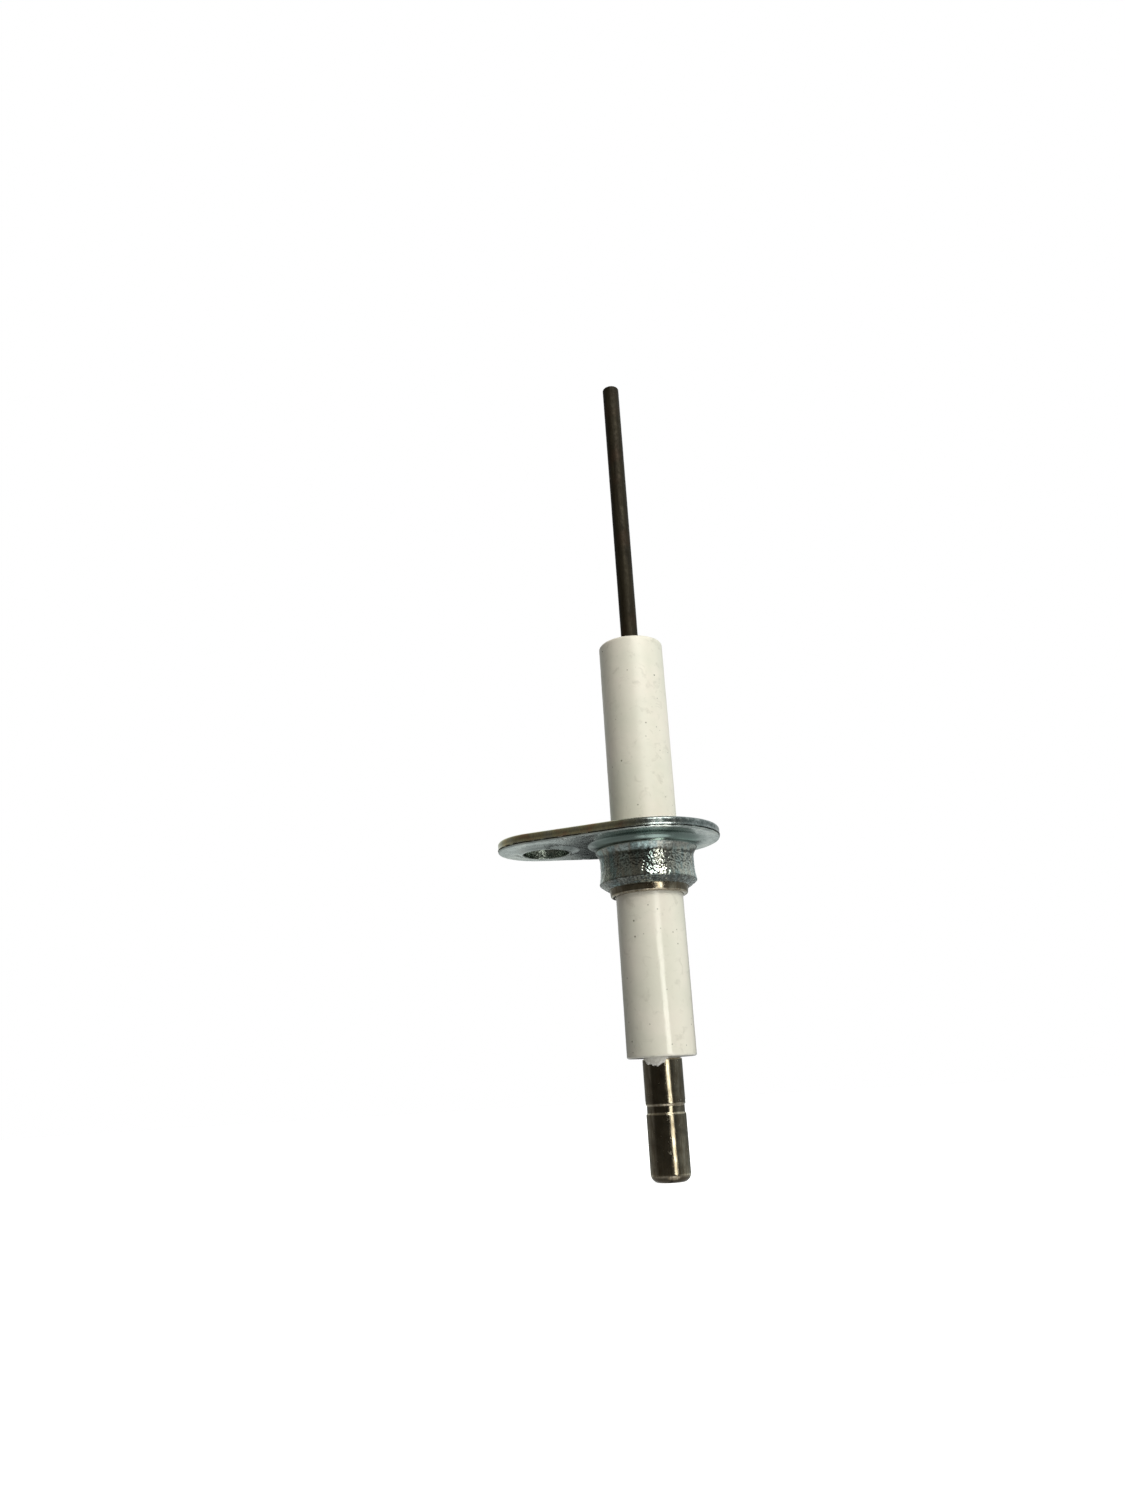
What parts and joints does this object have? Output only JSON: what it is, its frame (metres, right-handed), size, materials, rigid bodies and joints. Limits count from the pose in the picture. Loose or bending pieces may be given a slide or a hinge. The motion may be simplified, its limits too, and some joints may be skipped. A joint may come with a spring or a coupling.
{
  "type": "ignition electrode",
  "caption": "Spark electrode: straight metal rod in a white ceramic tube, held by an offset screw flange with a rolled hub, with a round push-on terminal below.",
  "frame": {"origin": "centre of the flange's seat face, on the electrode's axis; the electrode and terminal stand out on either side of it", "axes": "+Z along the electrode's axis towards the spark tip, out of the seat face; the flange's screw lobe lies on -X; +Y completes a right-handed frame"},
  "size_m": [0.0239, 0.0158, 0.09],
  "materials": {
    "oxidised_rod": "oxidised, matt",
    "ceramic": "smooth, satin to glossy",
    "zinc_plate": "zinc-plated, blue passivated",
    "nickel_sleeve": "bright nickel",
    "nickel_terminal": "bright nickel, slightly worn",
    "cement": "matt, granular"
  },
  "bodies": {
    "root": {"electrode_rod": "oxidised_rod", "ceramic_insulator": "ceramic", "mounting_flange": "zinc_plate", "clamping_sleeve": "nickel_sleeve", "sleeve_bedding": "cement", "terminal_pin": "nickel_terminal", "rod_seal": "cement", "terminal_seal": "cement"}
  },
  "joints": []
}
